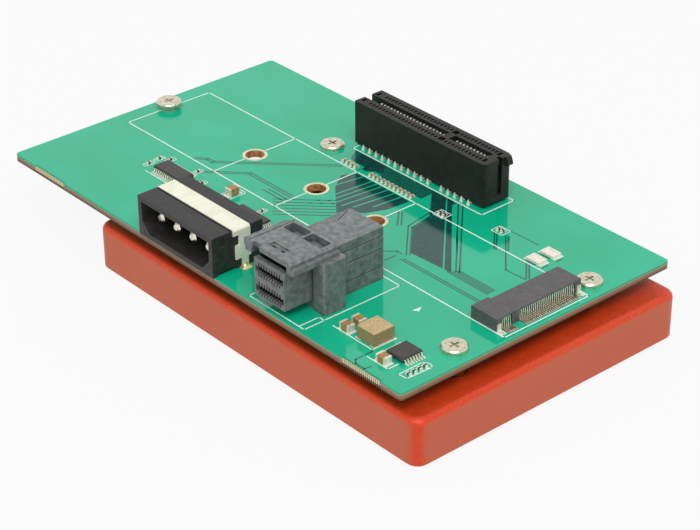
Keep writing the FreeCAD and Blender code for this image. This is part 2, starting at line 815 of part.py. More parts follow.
def make_port_core():
    """The contact block: a tongue with two card slots, and the tall body behind it."""
    middle = port_u_centre
    half = port_block_width / 2
    tongue_half = port_tongue_width / 2
    body = block(middle - half, middle + half, port_block_v, port_block_depth, 0, port_block_height)
    tongue = block(middle - tongue_half, middle + tongue_half, 0, port_block_v + 1, port_tongue_low, port_tongue_high)
    core = fused([body, tongue])
    cuts = []
    slot_half = port_slot_width / 2
    opening = port_slot_opening / 2
    for z in port_slot_centres:
        cuts.append(block(middle - slot_half, middle + slot_half, -1, port_slot_depth, z - opening, z + opening))
        for u in port_contact_places():
            reach = opening + port_channel_depth
            cuts.append(block(u - port_channel_width / 2, u + port_channel_width / 2, -1, port_slot_depth,
                              z - reach, z + reach))
    for z in port_side_groove_heights:
        for side in (-1, 1):
            span = sorted((middle + side * (half - port_side_groove), middle + side * (half + 1)))
            start = port_ear_v + port_ear_depth + 0.4
            cuts.append(block(span[0], span[1], start, port_block_depth + 1, z, z + port_side_groove_height))
    start, end = port_top_groove
    along = unit(end[0] - start[0], end[1] - start[1])
    half_width = port_top_groove_width / 2
    offset = (-along[1] * half_width, along[0] * half_width)
    groove = [(start[0] - offset[0], start[1] - offset[1]), (end[0] - offset[0], end[1] - offset[1]),
              (end[0] + offset[0], end[1] + offset[1]), (start[0] + offset[0], start[1] + offset[1])]
    cuts.append(upright(groove, port_block_height - port_top_groove_depth, port_block_height + 1))
    return core.cut(cuts)


def port_contact_places():
    first = port_u_centre - port_contact_pitch * (port_contacts_per_row - 1) / 2
    return [first + index * port_contact_pitch for index in range(port_contacts_per_row)]


def make_port_contacts():
    """Four rows of flat springs, lying in the channels above and below each card slot."""
    springs = []
    reach = port_slot_opening / 2 + port_channel_depth
    for z in port_slot_centres:
        for low in (z - reach, z + reach - port_contact_thickness):
            for u in port_contact_places():
                half = port_contact_width / 2
                springs.append(block(u - half, u + half, port_contact_setback, port_slot_depth,
                                     low, low + port_contact_thickness))
    return joined(springs)


def make_port_tails():
    """Two rows of square tails from the contact block down through the card."""
    size = (port_tail_size, port_tail_size, -tail_bottom)
    return joined([centred_block(u, v, size, tail_bottom) for u, v in port_tail_places()])


def make_chip_body(place, size, leads_on_y_sides):
    """A thin moulded package, bevelled round its middle, held up by its leads."""
    u, v = place
    length, width, height = size
    across = (length, width) if leads_on_y_sides else (width, length)
    half_height = (height - chip_lift) / 2
    low = board_top + chip_lift
    centre = at(u, v)
    levels = []
    for z, inset in ((low, chip_body_bevel), (low + half_height, 0.0), (low + 2 * half_height, chip_body_bevel)):
        a = across[0] / 2 - inset
        b = across[1] / 2 - inset
        corners = [Vector(centre.x + i * a, centre.y + j * b, z) for i, j in ((-1, -1), (1, -1), (1, 1), (-1, 1))]
        levels.append(Part.makePolygon(corners + [corners[0]]))
    return Part.makeLoft(levels, True, True)


def make_chip_leads(place, size, count_and_pitch, leads_on_y_sides):
    """Two rows of gull-wing leads that meet the package's middle and stand on the card."""
    u, v = place
    count, pitch = count_and_pitch
    half_width = size[1] / 2
    middle = (size[2] + chip_lift) / 2
    foot = chip_lead_thickness / 2
    path = [(half_width, middle), (half_width + 0.25, middle), (half_width + 0.45, foot),
            (half_width + chip_lead_reach, foot)]
    outline = strip_outline(path, chip_lead_thickness)
    half = chip_lead_width / 2
    leads = []
    for side in (-1, 1):
        for index in range(count):
            offset = (index - (count - 1) / 2) * pitch
            if leads_on_y_sides:
                placed = [(v + side * w, z) for w, z in outline]
                leads.append(along_x(placed, u + offset - half, u + offset + half))
            else:
                placed = [(u + side * w, z) for w, z in outline]
                leads.append(along_y(placed, v + offset - half, v + offset + half))
    return joined(leads)


def make_inductor():
    solid = centred_block(inductor_place[0], inductor_place[1], (inductor_length, inductor_width, inductor_height))
    top = board_top + inductor_height
    upper = [edge for edge in solid.Edges if edge.BoundBox.ZMin > top - 0.001]
    return solid.makeChamfer(inductor_edge, upper)


def make_filter_capacitors():
    parts = [centred_block(u, v, large_capacitor_size) for u, v in large_capacitor_places]
    parts += [centred_block(u, v, medium_capacitor_size) for u, v in medium_capacitor_places]
    return joined(parts)


def make_coupling_capacitors():
    """Two rows of small capacitors in front of the card slot."""
    v = slot_v_front - coupling_rows_before_slot
    rows = ((coupling_first_u, coupling_count), (second_row_first_u, second_row_count))
    parts = []
    for first, count in rows:
        parts += [centred_block(first + index * coupling_pitch, v, small_part_size) for index in range(count)]
    return joined(parts)


def make_resistors():
    length, width, height = small_part_size
    turned = (width, length, height)
    u, v = resistor_array_place
    parts = [centred_block(u, v + index * resistor_array_pitch, turned) for index in range(resistor_array_count)]
    parts += [centred_block(a, b, small_part_size) for a, b in lone_resistor_places]
    return joined(parts)


def make_leds():
    """Two pale packages, each with a shallow window in its top."""
    length, width, height = led_size
    window = (length - 2 * led_window_margin, width - 2 * led_window_margin, height)
    parts = []
    for u, v in led_places:
        body = centred_block(u, v, led_size)
        parts.append(body.cut(centred_block(u, v, window, height - led_window_depth)))
    return joined(parts)


def main():
    os.makedirs("parts", exist_ok=True)
    save("base_block", make_base())
    save("spacers", make_spacers())
    save("board_screws", make_board_screws())
    save("circuit_board", make_board())
    save("module_post", make_module_post())
    save("post_screw", make_post_screw())
    save("module_socket_housing", make_socket_housing())
    save("module_socket_upper_contacts", make_socket_upper_contacts())
    save("module_socket_lower_contacts", make_socket_lower_contacts())
    save("module_socket_hold_downs", make_socket_hold_downs())
    save("card_slot_housing", make_slot_housing())
    save("card_slot_front_contacts", make_slot_contacts(-1))
    save("card_slot_rear_contacts", make_slot_contacts(1))
    save("power_header_housing", make_header_housing())
    save("power_header_pins", make_header_pins())
    save("power_header_strap", make_header_strap())
    save("cable_port_hood", make_port_hood())
    save("cable_port_core", make_port_core())
    save("cable_port_contacts", make_port_contacts())
    save("cable_port_tails", make_port_tails())
    save("converter_chip_body", make_chip_body(converter_chip_place, converter_chip_size, False))
    leads = make_chip_leads(converter_chip_place, converter_chip_size, converter_chip_leads, False)
    save("converter_chip_leads", leads)
    save("clock_chip_body", make_chip_body(clock_chip_place, clock_chip_size, True))
    save("clock_chip_leads", make_chip_leads(clock_chip_place, clock_chip_size, clock_chip_leads, True))
    save("controller_chip_body", make_chip_body(controller_chip_place, controller_chip_size, False))
    leads = make_chip_leads(controller_chip_place, controller_chip_size, controller_chip_leads, False)
    save("controller_chip_leads", leads)
    save("power_inductor", make_inductor())
    save("filter_capacitors", make_filter_capacitors())
    save("coupling_capacitors", make_coupling_capacitors())
    save("chip_resistors", make_resistors())
    save("status_leds", make_leds())


main()
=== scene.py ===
# %% [markdown]
# This lesson dresses an adapter card that is screwed to a red metal block.

# %% Load the constructed parts
import math

import bmesh
import bpy
from mathutils import Matrix, Vector


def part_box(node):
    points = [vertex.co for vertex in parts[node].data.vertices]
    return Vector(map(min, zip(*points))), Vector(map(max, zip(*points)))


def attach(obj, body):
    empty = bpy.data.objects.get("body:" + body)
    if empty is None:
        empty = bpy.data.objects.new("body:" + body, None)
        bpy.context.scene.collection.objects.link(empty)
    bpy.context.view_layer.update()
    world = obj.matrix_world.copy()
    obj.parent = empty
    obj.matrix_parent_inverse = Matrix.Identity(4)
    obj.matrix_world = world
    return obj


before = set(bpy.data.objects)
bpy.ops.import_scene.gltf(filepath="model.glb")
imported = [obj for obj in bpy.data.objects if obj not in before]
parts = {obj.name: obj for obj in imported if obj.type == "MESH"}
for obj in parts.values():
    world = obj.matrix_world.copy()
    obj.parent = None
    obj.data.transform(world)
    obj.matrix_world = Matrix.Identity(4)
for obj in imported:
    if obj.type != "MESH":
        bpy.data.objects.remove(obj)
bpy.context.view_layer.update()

# %% [markdown]
# Every place on the card is given the way a board designer gives it: millimetres from the short edge
# with the module socket, millimetres from the long edge with the plugs, and height over the green face.

# %% Places on the card
MM = 0.001
board_low, board_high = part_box("circuit_board")


def on_card(from_end, from_front, height=0.0):
    """A point of the card in metres, from its two edges and its top face in millimetres."""
    x = board_high[0] - from_end * MM
    y = board_low[1] + from_front * MM
    return Vector((x, y, board_high[2] + height * MM))


# The module bay: its centre line, its long sides and its three open bores
MODULE_ROW = 37.35
MODULE_SIDES = (MODULE_ROW - 11.0, MODULE_ROW + 11.0)
MODULE_BORES = (49.04, 67.04, 87.04)
SOCKET_LEAD_GROUPS = ((29.3, 2.5), (39.8, 14.5))

# The card slot: its centre line and its contacts, 1 mm apart, with two places left out for the key
SLOT_MIDDLE = 69.5 - 5.5 - 7.5 / 2
SLOT_FIRST = 40.7
SLOT_STEPS = [step for step in range(34) if step not in (11, 12)]

# The power header and the cable port, both on the front edge
HEADER_MIDDLE = 52.6 + 23.5 / 2
HEADER_TOP = 8.6
PORT_MIDDLE = 36.05

# Chip parts, and the chips with their leads as (place, leads on a side, lead pitch)
LARGE_CAPS = ((9.75, 4.7), (22.15, 6.85), (22.15, 9.75))
MEDIUM_CAP = (76.65, 23.2)
INDUCTOR = (16.65, 8.9)
COUPLING_ROW = 49.5
COUPLING_CAPS = [first + step * 1.25 for first, count in ((51.5, 11), (68.7, 4)) for step in range(count)]
PAIRED_PARTS = ((42.9, 49.25), (41.6, 49.25), (30.3, 53.3), (29.1, 53.3))
SINGLE_PARTS = ((98.6, 18.3), (98.9, 21.2), (96.9, 22.6), (88.9, 23.6), (67.0, 22.9), (84.4, 21.2))
LONE_PARTS = PAIRED_PARTS + SINGLE_PARTS
RESISTOR_ROW = [(3.6, 5.15 + step * 1.3) for step in range(4)]
LAMPS = ((16.9, 50.35), (16.8, 54.15))
CONVERTER_CHIP = ((9.1, 9.05), 7, 0.65)
CLOCK_CHIP = ((91.35, 19.3), 12, 0.635)
CONTROLLER_CHIP = ((66.05, 18.0), 11, 0.5)
print("card top at", round(board_high[2] * 1000, 2), "mm")

# %% [markdown]
# The photograph was taken with a long lens from about thirty degrees above the table.
# The camera's direction, distance and lens come from fitting the card's corners and bores.
# A slight roll is kept, because the card's edges show it.

# %% Camera
aim = on_card(39.351, 22.402)
distance = 0.414056
turn = math.radians(-40.713)
rise = math.radians(30.486)
roll = math.radians(-0.399)
back = Vector((math.cos(rise) * math.cos(turn), math.cos(rise) * math.sin(turn), math.sin(rise)))
right = Vector((0, 0, 1)).cross(back).normalized()
up = back.cross(right)
rolled_right = math.cos(roll) * right + math.sin(roll) * up
rolled_up = math.cos(roll) * up - math.sin(roll) * right

camera_data = bpy.data.cameras.new("camera")
camera_data.sensor_width = 36.0
camera_data.lens = 111.1
camera_data.clip_start = 0.01
camera = bpy.data.objects.new("camera", camera_data)
camera.rotation_mode = "QUATERNION"
camera.rotation_quaternion = Matrix((rolled_right, rolled_up, back)).transposed().to_quaternion()
camera.location = aim + back * distance
bpy.context.scene.collection.objects.link(camera)
bpy.context.scene.camera = camera
bpy.context.scene.view_settings.view_transform = "Standard"
print("camera at", [round(c, 3) for c in camera.location])

# %% [markdown]
# Colours are written as the hex values that a colour picker shows, and the shader wants linear light.
# One function does that turn for every material, and one small function adds a node with its
# settings and links.

# %% Colour and node helpers
def tint(hex_text):
    """An sRGB hex value as linear red, green, blue and alpha."""
    channels = [int(hex_text[i:i + 2], 16) / 255 for i in (0, 2, 4)]
    linear = [c / 12.92 if c <= 0.04045 else ((c + 0.055) / 1.055) ** 2.4 for c in channels]
    return (*linear, 1.0)


def add_node(tree, kind, links=None, stops=None, **settings):
    """A node with its settings; links sets sockets to a value or another socket, stops fills a ramp."""
    made = tree.nodes.new(kind)
    for name, value in settings.items():
        setattr(made, name, value)
    for name, value in (links or {}).items():
        socket = made.inputs[name]
        if isinstance(value, bpy.types.NodeSocket):
            tree.links.new(value, socket)
        else:
            socket.default_value = value
    for index, (position, hex_text) in enumerate(stops or []):
        if index > 1:
            made.color_ramp.elements.new(position)
        made.color_ramp.elements[index].position = position
        made.color_ramp.elements[index].color = tint(hex_text)
    return made


def new_finish(name, **sockets):
    """A material with one Principled shader; returns it, its tree, the shader and Object coordinates."""
    material = bpy.data.materials.new(name)
    material.use_nodes = True
    tree = material.node_tree
    shader = tree.nodes["Principled BSDF"]
    for socket, value in sockets.items():
        shader.inputs[socket.replace("_", " ")].default_value = value
    place = add_node(tree, "ShaderNodeTexCoord").outputs["Object"]
    return material, tree, shader, place


def paint_side_light_and_shade(material, hex_text, share):
    """Paints the flat upright faces of a material towards another shade: painted light or painted shade on
    the sides.
    """
    tree = material.node_tree
    shader = tree.nodes["Principled BSDF"]
    facing = add_node(tree, "ShaderNodeNewGeometry").outputs["True Normal"]
    sides = add_node(tree, "ShaderNodeVectorMath", {0: facing}, operation="ABSOLUTE")
    axes = add_node(tree, "ShaderNodeSeparateXYZ", {"Vector": sides.outputs["Vector"]})
    square_on = add_node(tree, "ShaderNodeMath", {0: axes.outputs["X"], 1: axes.outputs["Y"]},
                         operation="MAXIMUM")
    upright = add_node(tree, "ShaderNodeMapRange", {"Value": square_on.outputs[0], "From Min": 0.85,
                                                    "From Max": 0.98, "To Max": share})
    toned = add_node(tree, "ShaderNodeMix", {"Factor": upright.outputs["Result"],
                                             "A": shader.inputs["Base Color"].links[0].from_socket,
                                             "B": tint(hex_text)}, data_type="RGBA")
    tree.links.new(toned.outputs["Result"], shader.inputs["Base Color"])


def dress(node_name, material):
    """Gives a constructed part its finish."""
    mesh = parts[node_name].data
    mesh.materials.clear()
    mesh.materials.append(material)


# %% [markdown]
# The block is aluminium that was bead blasted and then anodised red.
# Most of its colour comes from dye in the oxide layer, which scatters light like paint, so the shader is
# only part metal. The sealed oxide on top adds a pale haze of reflected light, which the coat gives.
# Blasting leaves a fine sparkle. Its grains are drawn 0.4 mm wide, coarser than real grit, so that they still
# show. The flat sides are painted paler and browner than the top and the rounded corners: a painted
# reflection of the pale surround that those faces mirror.

# %% Red anodised aluminium
red_anodised, tree, shader, place = new_finish("red anodised aluminium", Metallic=0.2, Roughness=0.45)
shader.inputs["Coat Weight"].default_value = 0.08
shader.inputs["Coat Roughness"].default_value = 0.3
grit = add_node(tree, "ShaderNodeTexNoise", {"Vector": place, "Scale": 1000 / 0.4, "Detail": 4.0})
cloud = add_node(tree, "ShaderNodeTexNoise", {"Vector": place, "Scale": 1000 / 11.0, "Detail": 3.0})
dye = add_node(tree, "ShaderNodeValToRGB", {"Fac": grit.outputs["Fac"]},
               stops=[(0.3, "CE380A"), (0.6, "DC400E"), (0.8, "EA6430")])
tree.links.new(dye.outputs["Color"], shader.inputs["Base Color"])
# Painted reflection: the flat sides are painted paler and browner than the top.
paint_side_light_and_shade(red_anodised, "C2623F", 0.8)
uneven = add_node(tree, "ShaderNodeMapRange", {"Value": cloud.outputs["Fac"], "To Min": 0.36, "To Max": 0.56})
tree.links.new(uneven.outputs["Result"], shader.inputs["Roughness"])
blasted = add_node(tree, "ShaderNodeBump", {"Height": grit.outputs["Fac"], "Distance": 0.015 * MM,
                                            "Strength": 0.35})
tree.links.new(blasted.outputs["Normal"], shader.inputs["Normal"])
dress("base_block", red_anodised)

# %% [markdown]
# The card is glass-fibre laminate under a glossy green solder mask. The mask is one clear sheet of
# epoxy, so it mirrors the slot, the port and the pale surround; that sheen is what makes a green card
# look mint from the side.
# Its cut edges are bare: green from the mask's rim at the top, then pale resin and brown fibre. The shader
# tells them apart by which way the surface faces. Where a strip was snapped off along a row of drill holes,
# the teeth that are left are pale, broken fibre, and the holes between them are darkened with painted shade.
# The fibre layers are drawn 0.5 mm thick, coarser than real ones, so that they show.

# %% Green solder mask on laminate
COMB_PLACES = (10.6, 108.4)
COMB_HALF_LENGTH = 5.2
NOTCH_MIDDLE = 0.65
NOTCH_HALF_DEPTH = 0.56
comb_middle = board_high[0] - (COMB_PLACES[0] + COMB_PLACES[1]) / 2 * MM
comb_apart = (COMB_PLACES[1] - COMB_PLACES[0]) / 2 * MM
green_mask, tree, shader, place = new_finish("solder mask on laminate", IOR=1.48)
pour = add_node(tree, "ShaderNodeTexNoise", {"Vector": place, "Scale": 1000 / 16.0, "Detail": 2.0})
mask_shade = add_node(tree, "ShaderNodeValToRGB", {"Fac": pour.outputs["Fac"]},
                      stops=[(0.35, "05B88B"), (0.65, "0CC094")])
spot = add_node(tree, "ShaderNodeSeparateXYZ", {"Vector": place})
depth = add_node(tree, "ShaderNodeMapRange", {"Value": spot.outputs["Z"], "From Min": board_low[2],
                                              "From Max": board_high[2]})
layers = add_node(tree, "ShaderNodeTexNoise", {"Vector": place, "Scale": 1000 / 0.5, "Detail": 3.0})
jitter = add_node(tree, "ShaderNodeMath", {0: layers.outputs["Fac"], 1: 0.35, 2: depth.outputs["Result"]},
                  operation="MULTIPLY_ADD")
cut_shade = add_node(tree, "ShaderNodeValToRGB", {"Fac": jitter.outputs[0]},
                     stops=[(0.22, "4E4A38"), (0.4, "86664E"), (0.74, "9A7B62"), (0.9, "AE9E88"),
                            (0.98, "22B088")])
from_middle = add_node(tree, "ShaderNodeMath", {0: spot.outputs["X"], 1: -comb_middle}, operation="ADD")
apart = add_node(tree, "ShaderNodeMath", {0: from_middle.outputs[0]}, operation="ABSOLUTE")
in_comb = add_node(tree, "ShaderNodeMath", {0: apart.outputs[0], 1: comb_apart, 2: COMB_HALF_LENGTH * MM},
                   operation="COMPARE")
at_front = add_node(tree, "ShaderNodeMath", {0: spot.outputs["Y"], 1: board_low[1] + 0.08 * MM},
                    operation="LESS_THAN")
at_top = add_node(tree, "ShaderNodeMath", {0: depth.outputs["Result"], 1: 0.4}, operation="GREATER_THAN")
tip = add_node(tree, "ShaderNodeMath", {0: at_front.outputs[0], 1: at_top.outputs[0]}, operation="MULTIPLY")
tooth = add_node(tree, "ShaderNodeMath", {0: in_comb.outputs[0], 1: tip.outputs[0]}, operation="MULTIPLY")
edge_shade = add_node(tree, "ShaderNodeMix", {"Factor": tooth.outputs[0], "A": cut_shade.outputs["Color"],
                                              "B": tint("E6DAB4")}, data_type="RGBA")
# Painted shade in the half holes between the teeth.
in_notch = add_node(tree, "ShaderNodeMath", {0: spot.outputs["Y"], 1: board_low[1] + NOTCH_MIDDLE * MM,
                                             2: NOTCH_HALF_DEPTH * MM}, operation="COMPARE")
notch_shade = add_node(tree, "ShaderNodeMath", {0: in_comb.outputs[0], 1: in_notch.outputs[0]},
                 operation="MULTIPLY")
edge_shade = add_node(tree, "ShaderNodeMix", {"Factor": notch_shade.outputs[0], "A": edge_shade.outputs["Result"],
                                              "B": tint("3E3020")}, data_type="RGBA")
facing = add_node(tree, "ShaderNodeNewGeometry").outputs["True Normal"]
axes = add_node(tree, "ShaderNodeSeparateXYZ", {"Vector": facing})
level = add_node(tree, "ShaderNodeMath", {0: axes.outputs["Z"]}, operation="ABSOLUTE")
masked = add_node(tree, "ShaderNodeMath", {0: level.outputs[0], 1: 0.5}, operation="GREATER_THAN")
card_shade = add_node(tree, "ShaderNodeMix", {"Factor": masked.outputs[0], "A": edge_shade.outputs["Result"],
                                              "B": mask_shade.outputs["Color"]}, data_type="RGBA")
tree.links.new(card_shade.outputs["Result"], shader.inputs["Base Color"])
gloss = add_node(tree, "ShaderNodeMapRange", {"Value": masked.outputs[0], "To Min": 0.7, "To Max": 0.06})
smear = add_node(tree, "ShaderNodeMath", {0: pour.outputs["Fac"], 1: 0.06, 2: gloss.outputs["Result"]},
                 operation="MULTIPLY_ADD")
tree.links.new(smear.outputs[0], shader.inputs["Roughness"])
ripple = add_node(tree, "ShaderNodeTexNoise", {"Vector": place, "Scale": 1000 / 5.0, "Detail": 1.0})
waves = add_node(tree, "ShaderNodeBump", {"Height": ripple.outputs["Fac"], "Distance": 0.01 * MM,
                                          "Strength": 0.3})
tree.links.new(waves.outputs["Normal"], shader.inputs["Normal"])
dress("circuit_board", green_mask)

# %% [markdown]
# The slot, the socket, the header and the chips are black mouldings: glass-filled nylon and epoxy.
# They are dark and a little brown, with a faint grain from the mould. Their edges are rounded by about a
# tenth of a millimetre in the mould, and a painted highlight along them shows as a thin pale line. The grain
# is drawn 0.25 mm wide, coarser than a real mould's, so that it shows, and so are the blotches that the
# filler leaves.

# %% Moulded plastics
def moulding(name, dark, light, grain_mm, rough_low, rough_high, edge_mm, shine=0.5, edge_highlight=0.12):
    """A moulded material with blotchy shade, uneven gloss, slightly rounded edges and a painted highlight
    along them.
    """
    material, tree, shader, place = new_finish(name, IOR=1.5, Specular_IOR_Level=shine)
    blotch = add_node(tree, "ShaderNodeTexNoise", {"Vector": place, "Scale": 1000 / grain_mm, "Detail": 4.0})
    shade = add_node(tree, "ShaderNodeValToRGB", {"Fac": blotch.outputs["Fac"]},
                     stops=[(0.3, dark), (0.75, light)])
    gloss = add_node(tree, "ShaderNodeMapRange", {"Value": blotch.outputs["Fac"], "To Min": rough_low,
                                                  "To Max": rough_high})
    tree.links.new(gloss.outputs["Result"], shader.inputs["Roughness"])
    skin = add_node(tree, "ShaderNodeTexNoise", {"Vector": place, "Scale": 1000 / 0.25, "Detail": 2.0})
    edge = add_node(tree, "ShaderNodeBevel", {"Radius": edge_mm * MM}, samples=6)
    flat = add_node(tree, "ShaderNodeNewGeometry").outputs["True Normal"]
    agree = add_node(tree, "ShaderNodeVectorMath", {0: edge.outputs["Normal"], 1: flat},
                     operation="DOT_PRODUCT")
    # Painted highlight: edges are paled where the rounded normal leaves the flat one.
    painted_edge_highlight = add_node(tree, "ShaderNodeMapRange", {"Value": agree.outputs["Value"], "From Min": 0.99,
                                                   "From Max": 0.8, "To Max": edge_highlight})
    shade = add_node(tree, "ShaderNodeMix", {"Factor": painted_edge_highlight.outputs["Result"], "A": shade.outputs["Color"],
                                             "B": tint("B8B4AE")}, data_type="RGBA")
    tree.links.new(shade.outputs["Result"], shader.inputs["Base Color"])
    bump = add_node(tree, "ShaderNodeBump", {"Height": skin.outputs["Fac"], "Distance": 0.02 * MM,
                                             "Strength": 0.35, "Normal": edge.outputs["Normal"]})
    tree.links.new(bump.outputs["Normal"], shader.inputs["Normal"])
    return material


slot_black = moulding("glass-filled nylon black", "111010", "262320", 1.6, 0.4, 0.6, 0.12, 0.35)
header_black = moulding("nylon dark grey", "262524", "3B3938", 1.2, 0.38, 0.55, 0.15, 0.35)
socket_black = moulding("liquid crystal polymer black", "494748", "625F60", 1.0, 0.4, 0.55, 0.1)
chip_epoxy = moulding("moulding epoxy charcoal", "333130", "484543", 0.8, 0.45, 0.6, 0.08)
dress("card_slot_housing", slot_black)
dress("power_header_housing", header_black)
dress("module_socket_housing", socket_black)
for name in ("converter_chip_body", "clock_chip_body", "controller_chip_body"):
    dress(name, chip_epoxy)

# %% [markdown]
# The cable port is a mid-grey moulding whose glass filler shows as pale and dark mottling. Its upright faces
# carry painted shade, a little darker than its top, and its edges a stronger painted highlight.

# %% Grey moulded plastic
port_grey = moulding("glass-filled polymer grey", "5A6061", "8E9594", 1.1, 0.35, 0.55, 0.2, 0.5, 0.4)
# Painted shade on the port's upright faces.
paint_side_light_and_shade(port_grey, "3C4444", 0.3)
dress("cable_port_hood", port_grey)
dress("cable_port_core", port_grey)

# %% [markdown]
# The small parts are fired ceramic, pressed iron powder and a pale moulding. The inductor's sides carry
# painted shade, darker than its smooth, pale top, and its edges a stronger painted highlight.

# %% Ceramics, powder and light-emitting packages
ceramic_brown = moulding("barium titanate ceramic", "9A7242", "C0965C", 0.7, 0.35, 0.5, 0.08)
powder_bronze = moulding("pressed iron powder bronze", "B89C6C", "DCC490", 0.5, 0.35, 0.6, 0.15, 0.5, 0.4)
resistor_glaze = moulding("overglazed ruthenium black", "1B1514", "2E2624", 0.5, 0.3, 0.45, 0.05)
lamp_cream = moulding("cream epoxy", "EDE6D4", "FFFDF4", 0.8, 0.3, 0.45, 0.1)
dress("filter_capacitors", ceramic_brown)
dress("coupling_capacitors", ceramic_brown)
# Painted shade on the inductor's upright faces.
paint_side_light_and_shade(powder_bronze, "6E5832", 0.6)
dress("power_inductor", powder_bronze)
dress("chip_resistors", resistor_glaze)
dress("status_leds", lamp_cream)

# %% [markdown]
# The metal parts are tin plate, zinc plate, brass, flash gold, nickel and solder.
# Plated metal this small shows little more than its colour and a soft, uneven shine.
# All but the turned pins scatter some light as well as mirroring it, so they are only part metal, the
# dull and worn ones least. Stains are drawn 0.6 mm wide or more, coarser than real ones, so that they
# show.

# %% Plated metals and solder
def plating(name, colour, stained, rough_low, rough_high, metal=1.0, grain_mm=0.6):
    """A plated metal with a stained shade and an uneven shine."""
    material, tree, shader, place = new_finish(name, Metallic=metal)
    cloud = add_node(tree, "ShaderNodeTexNoise", {"Vector": place, "Scale": 1000 / grain_mm, "Detail": 3.0})
    shade = add_node(tree, "ShaderNodeValToRGB", {"Fac": cloud.outputs["Fac"]},
                     stops=[(0.35, stained), (0.6, colour)])
    tree.links.new(shade.outputs["Color"], shader.inputs["Base Color"])
    gloss = add_node(tree, "ShaderNodeMapRange", {"Value": cloud.outputs["Fac"], "To Min": rough_low,
                                                  "To Max": rough_high})
    tree.links.new(gloss.outputs["Result"], shader.inputs["Roughness"])
    bump = add_node(tree, "ShaderNodeBump", {"Height": cloud.outputs["Fac"], "Distance": 0.01 * MM,
                                             "Strength": 0.3})
    tree.links.new(bump.outputs["Normal"], shader.inputs["Normal"])
    return material


lead_tin = plating("bright tin plate", "FFFBEC", "E4DEC8", 0.15, 0.3, 0.9)
tin_plate = plating("matt tin plate", "F6F2E0", "DCD6C2", 0.3, 0.5, 0.4)
strap_tin = plating("dull tin plate", "FCFCE8", "F2F2DC", 0.4, 0.6, 0.15, 2.5)
zinc_plate = plating("bright zinc plate", "DCD8C4", "BDB79C", 0.2, 0.4, 0.85)
pin_tin = plating("turned tin plate", "F0ECDC", "C9C6B4", 0.15, 0.35)
# Painted light: the slot's contacts are painted paler than gold so that they show inside the shaded groove.
gold_flash = plating("worn flash gold with painted light", "F2EAD4", "D6C8A4", 0.25, 0.45, 0.3)
port_gold = plating("flash gold", "8E8A78", "6A665A", 0.3, 0.5, 0.7)
# Painted shade: the spacers are painted darker than brass, for the shade under the card.
spacer_brass = plating("turned brass with painted shade", "8A7440", "42361C", 0.15, 0.3, 0.9, 2.5)
worn_nickel = plating("worn nickel", "D6D6CE", "AEAEA6", 0.25, 0.45, 0.3)
solder = plating("tin solder", "FAF8EE", "E6E4D8", 0.2, 0.4, 0.4)
flux_solder = plating("solder with flux", "DCD09A", "C4B678", 0.2, 0.4, 0.6)
for name in ("module_socket_upper_contacts", "module_socket_lower_contacts"):
    dress(name, lead_tin)
for name in ("module_socket_hold_downs", "converter_chip_leads", "clock_chip_leads", "controller_chip_leads",
             "cable_port_tails"):
    dress(name, tin_plate)
dress("power_header_strap", strap_tin)
dress("power_header_pins", pin_tin)
for name in ("board_screws", "module_post", "post_screw"):
    dress(name, zinc_plate)
for name in ("card_slot_front_contacts", "card_slot_rear_contacts"):
    dress(name, gold_flash)
dress("cable_port_contacts", port_gold)
dress("spacers", spacer_brass)

# %% [markdown]
# New pieces start as bmesh shapes. Three helpers cover nearly all of them: a box on the card, a piece
# turned on a lathe, and a function that turns the finished bmesh into an object that rides on the card.

# %% Piece helpers
def finish_piece(mesh_builder, name, material):
    """Turns a bmesh into an object at the origin, gives it its finish and lets it ride on the object."""
    bmesh.ops.recalc_face_normals(mesh_builder, faces=mesh_builder.faces)
    mesh = bpy.data.meshes.new(name)
    mesh_builder.to_mesh(mesh)
    mesh_builder.free()
    mesh.materials.append(material)
    piece = bpy.data.objects.new(name, mesh)
    bpy.context.scene.collection.objects.link(piece)
    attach(piece, "root")
    print(name, len(mesh.polygons), "faces")
    return piece


def box_on(mesh_builder, from_end, from_front, length, width, bottom, top, angle=0.0):
    """Adds a box centred over a place of the card; length runs along the card."""
    middle = on_card(from_end, from_front, (bottom + top) / 2)
    size = Matrix.Diagonal((length * MM, width * MM, (top - bottom) * MM, 1.0))
    shape = Matrix.Translation(middle) @ Matrix.Rotation(angle, 4, "Z") @ size
    return bmesh.ops.create_cube(mesh_builder, size=1.0, matrix=shape)["verts"]


def strip_between(mesh_builder, start, end, width, bottom, top):
    """Adds a thin straight strip between two places of the card."""
    a = on_card(*start)
    b = on_card(*end)
    length = (b - a).length / MM + width
    angle = math.atan2(b.y - a.y, b.x - a.x)
    middle_end = (start[0] + end[0]) / 2
    middle_front = (start[1] + end[1]) / 2
    box_on(mesh_builder, middle_end, middle_front, length, width, bottom, top, angle)


def turned_on(mesh_builder, from_end, from_front, profile, steps=32):
    """Spins a profile of (radius, height) points into a ring or a dome over a place of the card."""
    centre = on_card(from_end, from_front)
    rim = [mesh_builder.verts.new(centre + Vector((r * MM, 0, z * MM))) for r, z in profile]
    edges = [mesh_builder.edges.new(pair) for pair in zip(rim, rim[1:])]
    bmesh.ops.spin(mesh_builder, geom=rim + edges, cent=centre, axis=(0, 0, 1), angle=math.tau, steps=steps,
                   use_merge=True)
    bmesh.ops.remove_doubles(mesh_builder, verts=mesh_builder.verts, dist=1e-7)


# %% [markdown]
# White ink shows where each part belongs: the outline of a module with a cross line at each bore,
# the outlines of the slot and the port, and small boxes round the other parts.
# The ink is a film about 0.02 mm thick, so it is built as thin strips on the mask.

